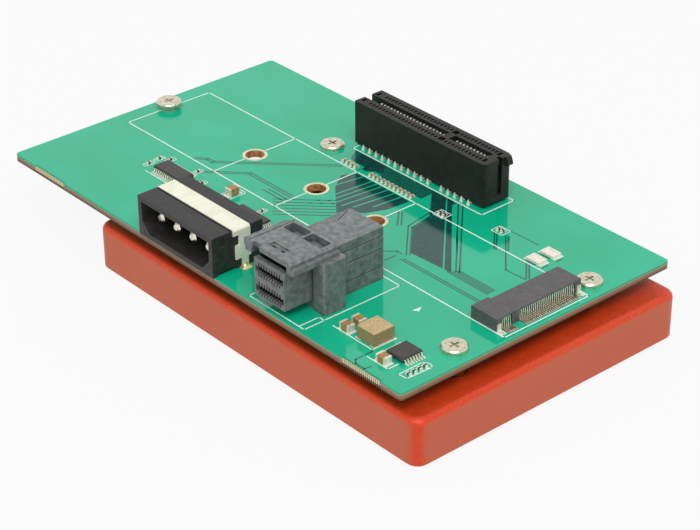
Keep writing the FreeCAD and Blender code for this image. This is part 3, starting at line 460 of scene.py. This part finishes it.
# %% White ink outlines
INK = (0.008, 0.028)
ink, tree, shader, place = new_finish("epoxy ink white", Roughness=0.55, IOR=1.5)
wear = add_node(tree, "ShaderNodeTexNoise", {"Vector": place, "Scale": 1000 / 0.5, "Detail": 3.0})
ink_shade = add_node(tree, "ShaderNodeValToRGB", {"Fac": wear.outputs["Fac"]},
                     stops=[(0.25, "C9EBDD"), (0.5, "F4FFFA")])
tree.links.new(ink_shade.outputs["Color"], shader.inputs["Base Color"])
ink_bump = add_node(tree, "ShaderNodeBump", {"Height": wear.outputs["Fac"], "Distance": 0.01 * MM,
                                             "Strength": 0.3})
tree.links.new(ink_bump.outputs["Normal"], shader.inputs["Normal"])
MODULE_INK = 0.29
BORE_SPACE = 2.9


def outline(mesh_builder, corners, width, closed=True, film=INK):
    """Thin strips along a path of places, back to the first one where it is closed."""
    path = corners + corners[:1] if closed else corners
    for start, end in zip(path, path[1:]):
        strip_between(mesh_builder, start, end, width, *film)


def frame_round(mesh_builder, from_end, from_front, half_length, half_width, line):
    """A rectangle of ink round a small part."""
    near, far = from_end - half_length, from_end + half_length
    front, rear = from_front - half_width, from_front + half_width
    outline(mesh_builder, [(near, front), (far, front), (far, rear), (near, rear)], line)


drawing = bmesh.new()
module_front, module_rear = MODULE_SIDES
outline(drawing, [(1.2, module_front), (117.04, module_front), (117.04, module_rear), (1.2, module_rear)],
        MODULE_INK)
for bore in MODULE_BORES:
    outline(drawing, [(bore, module_front), (bore, MODULE_ROW - BORE_SPACE)], MODULE_INK, False)
    outline(drawing, [(bore, MODULE_ROW + BORE_SPACE), (bore, module_rear)], MODULE_INK, False)
outline(drawing, [(75.7, 56.5), (75.7, 54.8), (36.8, 54.9), (36.8, 63.9), (38.2, 63.9)], 0.3, False)
outline(drawing, [(43.35, 0.9), (27.3, 0.9), (27.3, 24.4), (43.35, 24.4)], 0.26)
outline(drawing, [(28.8, 1.1), (28.8, 5.7), (27.3, 5.7)], 0.26, False)
outline(drawing, [(24.84, 5.75), (14.0, 5.7), (13.9, 11.5)], 0.26, False)
outline(drawing, [(12.9, 3.6), (7.4, 3.6), (7.4, 6.0)], 0.26, False)
outline(drawing, [(4.9, 3.9), (2.9, 4.1), (2.7, 9.7), (3.2, 10.4), (4.6, 10.2), (5.0, 9.6)], 0.22)
for from_end, from_front in SINGLE_PARTS:
    frame_round(drawing, from_end, from_front, 0.62, 1.25, 0.16)
for from_end, from_front in ((42.25, 49.25), (29.7, 53.3)):
    frame_round(drawing, from_end, from_front, 1.5, 1.25, 0.16)
outline(drawing, [(75.2, 20.9), (78.1, 20.9), (78.1, 25.5), (75.2, 25.5)], 0.2)
outline(drawing, [(86.2, 15.9), (96.6, 15.9)], 0.2, False)
finish_piece(drawing, "ink_outlines", ink)

# %% [markdown]
# Under the mask lies copper, and where the copper is etched away the card looks dark teal.
# Wide bare windows show behind the port and in front of the slot, with bundles of fine traces in them.
# They are drawn as films a few thousandths of a millimetre thick: the window first, then the traces
# that cross it in the green of covered copper. Narrow gaps beside a lone trace are dark strips.
# The glass weave under a window is drawn 1.2 mm wide, coarser than real cloth, so that it shows.

# %% Etched windows and traces
bare_mask, tree, shader, place = new_finish("solder mask on bare laminate", IOR=1.5)
weave = add_node(tree, "ShaderNodeTexNoise", {"Vector": place, "Scale": 1000 / 1.2, "Detail": 3.0})
bare_shade = add_node(tree, "ShaderNodeValToRGB", {"Fac": weave.outputs["Fac"]},
                      stops=[(0.3, "073E3A"), (0.7, "0C524A")])
tree.links.new(bare_shade.outputs["Color"], shader.inputs["Base Color"])
bare_gloss = add_node(tree, "ShaderNodeMapRange", {"Value": weave.outputs["Fac"], "To Min": 0.06,
                                                   "To Max": 0.14})
tree.links.new(bare_gloss.outputs["Result"], shader.inputs["Roughness"])
bare_bump = add_node(tree, "ShaderNodeBump", {"Height": weave.outputs["Fac"], "Distance": 0.005 * MM,
                                              "Strength": 0.3})
tree.links.new(bare_bump.outputs["Normal"], shader.inputs["Normal"])

gap_mask = bare_mask.copy()
gap_mask.name = "solder mask over an etched gap"
for node in gap_mask.node_tree.nodes:
    if node.type == "VALTORGB":
        node.color_ramp.elements[0].color = tint("0A5F50")
        node.color_ramp.elements[1].color = tint("0D6C58")

# Bottom and top of each film over the mask; a gap's field lies lowest and a trace highest
GAP_FIELD = (0.0, 0.0015)
WINDOW = (0.0, 0.003)
TRACE = (0.0, 0.005)
TRACE_WIDTH = 0.34
LONG_TRACE_WIDTH = 0.3
GAP_WIDTH = 0.33
WIDE_GAP_WIDTH = 0.36


def window(mesh_builder, corners, film=WINDOW):
    """A thin plate over an outline of places."""
    verts = [mesh_builder.verts.new(on_card(*corner, film[0])) for corner in corners]
    face = mesh_builder.faces.new(verts)
    top = bmesh.ops.extrude_face_region(mesh_builder, geom=[face])["geom"]
    lift = Vector((0, 0, (film[1] - film[0]) * MM))
    bmesh.ops.translate(mesh_builder, vec=lift, verts=[v for v in top if isinstance(v, bmesh.types.BMVert)])


windows = bmesh.new()
window(windows, [(66.4, 47.9), (50.5, 47.9), (50.9, 42.6), (52.8, 38.0), (56.8, 33.9), (65.0, 40.6),
                 (68.2, 45.0)])
window(windows, [(51.0, 54.6), (43.6, 54.6), (43.6, 53.2), (24.3, 34.9), (35.3, 34.2), (42.0, 40.7),
                 (43.5, 47.0)])
window(windows, [(72.6, 54.6), (65.4, 54.6), (63.2, 52.2), (66.2, 49.9), (67.4, 49.9), (67.6, 50.9),
                 (71.5, 50.9)])
finish_piece(windows, "etched_windows", bare_mask)
arrow = bmesh.new()
window(arrow, [(19.2, 20.2), (19.0, 22.3), (18.1, 20.9)], INK)
finish_piece(arrow, "ink_arrow", ink)

traces = bmesh.new()
for start, end in (((53.0, 47.9), (53.6, 41.0)), ((55.0, 47.9), (56.2, 38.0)), ((57.0, 47.9), (58.2, 36.6)),
                   ((58.9, 47.9), (60.3, 34.0)), ((60.4, 47.9), (61.8, 33.0)), ((61.9, 47.9), (63.4, 31.4)),
                   ((64.6, 47.9), (66.0, 39.4))):
    outline(traces, [start, end], TRACE_WIDTH, False, TRACE)
for shift in (0.0, 2.4):
    path = [(46.4 - shift, 54.5), (46.2 - shift, 54.2), (26.0 - shift, 34.4 + shift * 0.75)]
    outline(traces, path, LONG_TRACE_WIDTH, False, TRACE)
finish_piece(traces, "covered_traces", green_mask)

gaps = bmesh.new()
window(gaps, [(74.6, 54.6), (49.8, 54.6), (49.8, 50.4), (61.6, 50.4), (63.2, 51.2), (72.4, 51.2)],
       GAP_FIELD)
for row in range(6):
    back_off = 0.97 * row
    path = [(69.5 - back_off, 28.1 - 0.8 * row), (60.4 - back_off, 37.2 - 0.8 * row)]
    outline(gaps, path, WIDE_GAP_WIDTH, False, TRACE)
for path in ([(94.2, 26.6), (92.0, 28.4), (90.2, 28.4), (71.0, 47.6)],
             [(94.4, 27.3), (92.2, 29.0), (90.4, 29.1), (71.6, 47.9)],
             [(88.4, 24.0), (81.1, 31.0), (67.8, 31.1)], [(88.9, 24.4), (81.3, 31.7), (67.8, 31.8)],
             [(42.9, 54.5), (42.9, 54.3), (24.1, 35.9)], [(42.1, 54.8), (23.4, 36.2)],
             [(35.0, 33.0), (43.2, 41.0), (44.4, 47.9)], [(34.6, 33.6), (42.3, 41.2), (42.9, 45.0)],
             [(48.7, 43.4), (44.9, 39.6)], [(48.1, 43.8), (44.4, 40.2)],
             [(30.2, 52.1), (25.5, 47.4)], [(29.5, 52.1), (25.0, 47.5)],
             [(27.5, 52.5), (18.3, 43.5), (13.4, 43.7)],
             [(27.0, 52.8), (23.2, 49.0)], [(17.7, 48.4), (13.3, 44.0)], [(17.1, 48.6), (12.9, 44.4)],
             [(28.0, 54.7), (20.9, 54.9)], [(38.8, 31.0), (37.2, 32.6), (35.8, 32.7)],
             [(36.2, 31.3), (36.3, 28.7)],
             [(34.6, 31.1), (12.8, 31.3)], [(34.2, 31.7), (12.8, 31.9)],
             [(25.1, 34.6), (14.2, 34.6)], [(24.7, 35.1), (14.2, 35.1)], [(24.3, 35.6), (14.2, 35.6)],
             [(23.9, 36.1), (14.2, 36.1)], [(23.4, 36.6), (14.2, 36.6)],
             [(18.4, 48.96), (15.9, 48.96)], [(14.1, 49.2), (14.1, 50.6)],
             [(18.3, 52.76), (15.8, 52.76)], [(14.0, 53.0), (14.0, 54.4)],
             [(67.8, 30.0), (73.5, 30.0)], [(67.8, 29.0), (74.0, 29.0)],
             [(13.6, 5.4), (13.6, 1.4), (12.6, 0.6), (10.3, 0.6), (10.0, 1.9)]):
    outline(gaps, path, GAP_WIDTH, False, TRACE)
finish_piece(gaps, "etched_gaps", gap_mask)

# %% [markdown]
# Each bore is lined with plated copper and has a bare ring on both faces; the lining and the ring on the top
# face are spun from small closed profiles. The ring is tinned and the lining is dulled copper.

# %% Bore rings
ring_plate = plating("tinned copper ring", "F2EBD0", "DCCB9C", 0.3, 0.5, 0.35, 0.7)
bore_copper = plating("oxidised copper", "E2AC74", "B27C4A", 0.35, 0.55, 0.25, 0.8)


def tube_profile(inner, outer, bottom, top):
    """The closed profile of a short tube."""
    return [(inner, bottom), (inner, top), (outer, top), (outer, bottom), (inner, bottom)]


rings = bmesh.new()
for bore in MODULE_BORES:
    turned_on(rings, bore, MODULE_ROW, tube_profile(2.03, 2.66, 0.0, 0.03), 48)
finish_piece(rings, "bore_rings", ring_plate)
linings = bmesh.new()
for bore in MODULE_BORES:
    turned_on(linings, bore, MODULE_ROW, tube_profile(2.02, 2.049, -1.6, 0.0), 48)
finish_piece(linings, "bore_linings", bore_copper)

# %% [markdown]
# Solder climbs each tail as a small cone. The front row in front of the slot is the one that shows,
# as a line of bright triangles. Every second contact has its tail in the outer row.

# %% Solder
TAIL_ROW = 4.35
CONE_HEIGHT = 1.1
cones = bmesh.new()
for step in SLOT_STEPS:
    if step % 2 == 1:
        for side in (-1, 1):
            centre = on_card(SLOT_FIRST + step, SLOT_MIDDLE + side * TAIL_ROW, CONE_HEIGHT / 2)
            bmesh.ops.create_cone(cones, cap_ends=True, segments=14, radius1=0.42 * MM, radius2=0.12 * MM,
                                  depth=CONE_HEIGHT * MM, matrix=Matrix.Translation(centre))
finish_piece(cones, "slot_solder", solder)

# %% [markdown]
# Inside the slot each contact spring bulges towards the card's edge. The noses are what the eye finds:
# a row of pale dashes just under the lip. Each is a short bevelled bar on its spring.

# %% Noses of the slot contacts
NOSE_ROW = 0.99
NOSE_HEIGHTS = (7.7, 9.15)


def soften(mesh_builder, verts, offset_mm, segments):
    """Bevels every edge of a box that was just added."""
    edges = {edge for vert in verts for edge in vert.link_edges}
    bmesh.ops.bevel(mesh_builder, geom=list(edges), offset=offset_mm * MM, segments=segments, profile=0.5,
                    affect="EDGES", material=-1)


noses = bmesh.new()
for step in SLOT_STEPS:
    for side in (-1, 1):
        bar = box_on(noses, SLOT_FIRST + step, SLOT_MIDDLE + side * NOSE_ROW, 0.46, 0.74, *NOSE_HEIGHTS)
        soften(noses, bar, 0.12, 1)
finish_piece(noses, "slot_contact_noses", worn_nickel)

# %% [markdown]
# The strap's near leg stands in a larger drop of solder, yellow with flux.

# %% Solder at the strap's leg
drop = bmesh.new()
turned_on(drop, 52.4, 7.2, [(0.0, 1.15), (0.35, 1.1), (0.55, 0.7), (0.85, 0.35), (1.3, 0.05), (1.35, 0.0),
                            (0.0, 0.0)], 24)
finish_piece(drop, "strap_solder", flux_solder)

# %% [markdown]
# Chip capacitors and resistors end in tinned caps that wrap all four sides. A cap is a slightly larger
# box over each end, softened with a bevel.

# %% End caps of the small parts
def cap_ends_of(mesh_builder, from_end, from_front, length, width, height, along_card, share=0.24):
    """Adds the two end caps of a chip part, which lies along or across the card."""
    reach = (length if along_card else width) / 2
    cap = 2 * reach * share
    grow = 0.05
    top = height + 0.03
    for side in (-1, 1):
        shift = side * (reach - cap / 2 + 0.02)
        if along_card:
            verts = box_on(mesh_builder, from_end + shift, from_front, cap, width + grow, 0.0, top)
        else:
            verts = box_on(mesh_builder, from_end, from_front + shift, length + grow, cap, 0.0, top)
        soften(mesh_builder, verts, 0.04, 2)


caps = bmesh.new()
for place_on_card in LARGE_CAPS:
    cap_ends_of(caps, *place_on_card, 2.5, 1.7, 1.45, True, 0.2)
cap_ends_of(caps, *MEDIUM_CAP, 1.8, 2.6, 1.6, False, 0.15)
finish_piece(caps, "filter_capacitor_ends", tin_plate)

SMALL_PART = (0.5, 1.0, 0.45)
small_caps = bmesh.new()
for from_end in COUPLING_CAPS:
    cap_ends_of(small_caps, from_end, COUPLING_ROW, *SMALL_PART, False, 0.3)
finish_piece(small_caps, "coupling_capacitor_ends", tin_plate)

resistor_ends = bmesh.new()
for from_end, from_front in LONE_PARTS:
    cap_ends_of(resistor_ends, from_end, from_front, *SMALL_PART, False, 0.3)
for from_end, from_front in RESISTOR_ROW:
    cap_ends_of(resistor_ends, from_end, from_front, 1.0, 0.5, 0.45, True, 0.3)
finish_piece(resistor_ends, "resistor_ends", tin_plate)

# %% [markdown]
# Under every small part and every lead lies a bare pad of tinned copper, a little larger than the foot.

# %% Tinned pads
PAD = (0.002, 0.03)


def pads_beside(mesh_builder, from_end, from_front, apart, length, width, along_card=True):
    """Adds two pads at the same distance from a place, along or across the card."""
    for side in (-1, 1):
        shift = side * apart
        if along_card:
            box_on(mesh_builder, from_end + shift, from_front, length, width, *PAD)
        else:
            box_on(mesh_builder, from_end, from_front + shift, length, width, *PAD)


def along_row(middle, count, pitch):
    """Places at one pitch, the same number to each side of the middle."""
    return [middle + (step - (count - 1) / 2) * pitch for step in range(count)]


pads = bmesh.new()
for from_end, from_front in LARGE_CAPS:
    pads_beside(pads, from_end, from_front, 1.2, 1.1, 1.9)
pads_beside(pads, *MEDIUM_CAP, 1.2, 2.0, 1.3, False)
pads_beside(pads, *INDUCTOR, 2.0, 1.4, 5.3)
for from_end in COUPLING_CAPS:
    pads_beside(pads, from_end, COUPLING_ROW, 0.5, 0.62, 0.6, False)
for from_end, from_front in LONE_PARTS:
    pads_beside(pads, from_end, from_front, 0.5, 0.62, 0.6, False)
for from_end, from_front in RESISTOR_ROW:
    pads_beside(pads, from_end, from_front, 0.5, 0.6, 0.62)
for from_end, from_front in LAMPS:
    pads_beside(pads, from_end, from_front, 1.75, 1.1, 2.5)

(chip_end, chip_front), leads, pitch = CONVERTER_CHIP
for from_front in along_row(chip_front, leads, pitch):
    pads_beside(pads, chip_end, from_front, 2.9, 1.1, 0.36)
(chip_end, chip_front), leads, pitch = CLOCK_CHIP
for from_end in along_row(chip_end, leads, pitch):
    pads_beside(pads, from_end, chip_front, 2.65, 0.36, 1.1, False)
(chip_end, chip_front), leads, pitch = CONTROLLER_CHIP
for from_front in along_row(chip_front, leads, pitch):
    pads_beside(pads, chip_end, from_front, 5.1, 1.0, 0.3)

# The socket's lower leads, 0.5 mm apart with four left out at its key, and its two end tabs
for step in range(38):
    if step not in (5, 6, 7, 8):
        box_on(pads, 2.35, 28.3 + step * 0.5, 1.3, 0.22, *PAD)
for row in (27.1, 48.0):
    box_on(pads, 2.75, row, 1.7, 1.2, *PAD)
finish_piece(pads, "tinned_pads", solder)

# %% [markdown]
# Some places are too narrow for light to enter, so they get painted shade: the joint in front of the strap,
# which is a film on the housing here, the channels between the socket's leads, the port's two card slots and
# the throat under its hood. Each gets a thin near-black plate of painted shade well inside it, so that its
# rim keeps its own finish.
# Between the feet of the socket's leads the card is bare brown laminate.

# %% Painted shade plates and bare laminate
unlit_black = moulding("unlit resin black", "070707", "0E0D0D", 1.0, 0.7, 0.9, 0.02, 0.2, 0.0)
shade_plates = bmesh.new()
# In front of the strap, a film of painted shade on the header's top
box_on(shade_plates, HEADER_MIDDLE, 4.18, 23.3, 0.4, HEADER_TOP, HEADER_TOP + 0.006)
# Painted shade behind the socket's leads
for middle, length in SOCKET_LEAD_GROUPS:
    box_on(shade_plates, 4.34, middle, 0.08, length, 0.05, 2.3)
# Painted shade in the port's two card slots
for level in (3.75, 7.85):
    box_on(shade_plates, PORT_MIDDLE, 0.93, 8.04, 0.06, level - 1.46, level + 1.46)
# Painted shade at the back and on the floor of the throat under the port's hood
box_on(shade_plates, PORT_MIDDLE, 6.9, 10.1, 0.1, 10.13, 11.85)
box_on(shade_plates, PORT_MIDDLE, 4.0, 8.6, 5.8, 10.1, 10.108)
finish_piece(shade_plates, "painted_shade_plates", unlit_black)
bare_laminate = moulding("bare glass-fibre laminate", "3A2C22", "5A4636", 0.4, 0.5, 0.7, 0.02)
feet_field = bmesh.new()
for middle, length in SOCKET_LEAD_GROUPS:
    box_on(feet_field, 3.0, middle, 2.6, length, 0.0, 0.004)
finish_piece(feet_field, "bare_laminate_field", bare_laminate)

# %% [markdown]
# The picture needs a plain studio: a pale floor, a white surround and one large soft lamp.
# The lamp stands high on the camera's side and lights the faces that the picture shows.
# The floor looks white to the camera and to shiny surfaces, but a tenth of it stays real paint,
# so that the block keeps its soft shadow. The surround is dimmer for the rays that only bring light.

# %% Floor, surround and lamp
def is_looking_ray(tree):
    """One for the rays that show a surface: straight, mirrored or through glass. Nought for the rest."""
    path = add_node(tree, "ShaderNodeLightPath")
    seen = add_node(tree, "ShaderNodeMath", {0: path.outputs["Is Camera Ray"],
                                             1: path.outputs["Is Glossy Ray"]}, operation="MAXIMUM")
    seen_all = add_node(tree, "ShaderNodeMath", {0: seen.outputs[0], 1: path.outputs["Is Transmission Ray"]},
                        operation="MAXIMUM")
    return seen_all.outputs[0]


FLOOR_GLOW = 0.9
WORLD_LIGHT = 0.6
floor_mesh = bmesh.new()
bmesh.ops.create_grid(floor_mesh, x_segments=1, y_segments=1, size=3.0)
floor_data = bpy.data.meshes.new("floor")
floor_mesh.to_mesh(floor_data)
floor_mesh.free()
floor = bpy.data.objects.new("floor", floor_data)
floor.location.z = -0.0002
bpy.context.scene.collection.objects.link(floor)

floor_paint, tree, shader, place = new_finish("white floor", Roughness=0.9)
shader.inputs["Base Color"].default_value = tint("DEDEDE")
shader.inputs["Specular IOR Level"].default_value = 0.0
share = add_node(tree, "ShaderNodeMath", {0: is_looking_ray(tree), 1: FLOOR_GLOW}, operation="MULTIPLY")
white = add_node(tree, "ShaderNodeEmission", {"Color": (1, 1, 1, 1), "Strength": 1.0})
mixed = add_node(tree, "ShaderNodeMixShader",
                 {"Fac": share.outputs[0], 1: shader.outputs["BSDF"], 2: white.outputs["Emission"]})
tree.links.new(mixed.outputs["Shader"], tree.nodes["Material Output"].inputs["Surface"])
floor_data.materials.append(floor_paint)

world = bpy.data.worlds.new("surround")
world.use_nodes = True
bpy.context.scene.world = world
tree = world.node_tree
level = add_node(tree, "ShaderNodeMapRange", {"Value": is_looking_ray(tree), "To Min": WORLD_LIGHT,
                                              "To Max": 1.0})
surround = tree.nodes["Background"]
surround.inputs["Color"].default_value = (1, 1, 1, 1)
tree.links.new(level.outputs["Result"], surround.inputs["Strength"])


def soft_lamp(name, position, target, width, height, watts):
    """A rectangular softbox that looks at a point."""
    data = bpy.data.lights.new(name, "AREA")
    data.shape = "RECTANGLE"
    data.size = width
    data.size_y = height
    data.energy = watts
    lamp = bpy.data.objects.new(name, data)
    lamp.location = position
    lamp.rotation_mode = "QUATERNION"
    lamp.rotation_quaternion = (Vector(target) - Vector(position)).to_track_quat("-Z", "Y")
    bpy.context.scene.collection.objects.link(lamp)
    return lamp


soft_lamp("lamp_front", (0.62, -0.53, 1.16), (0, 0, 0), 0.9, 0.8, 9.2)
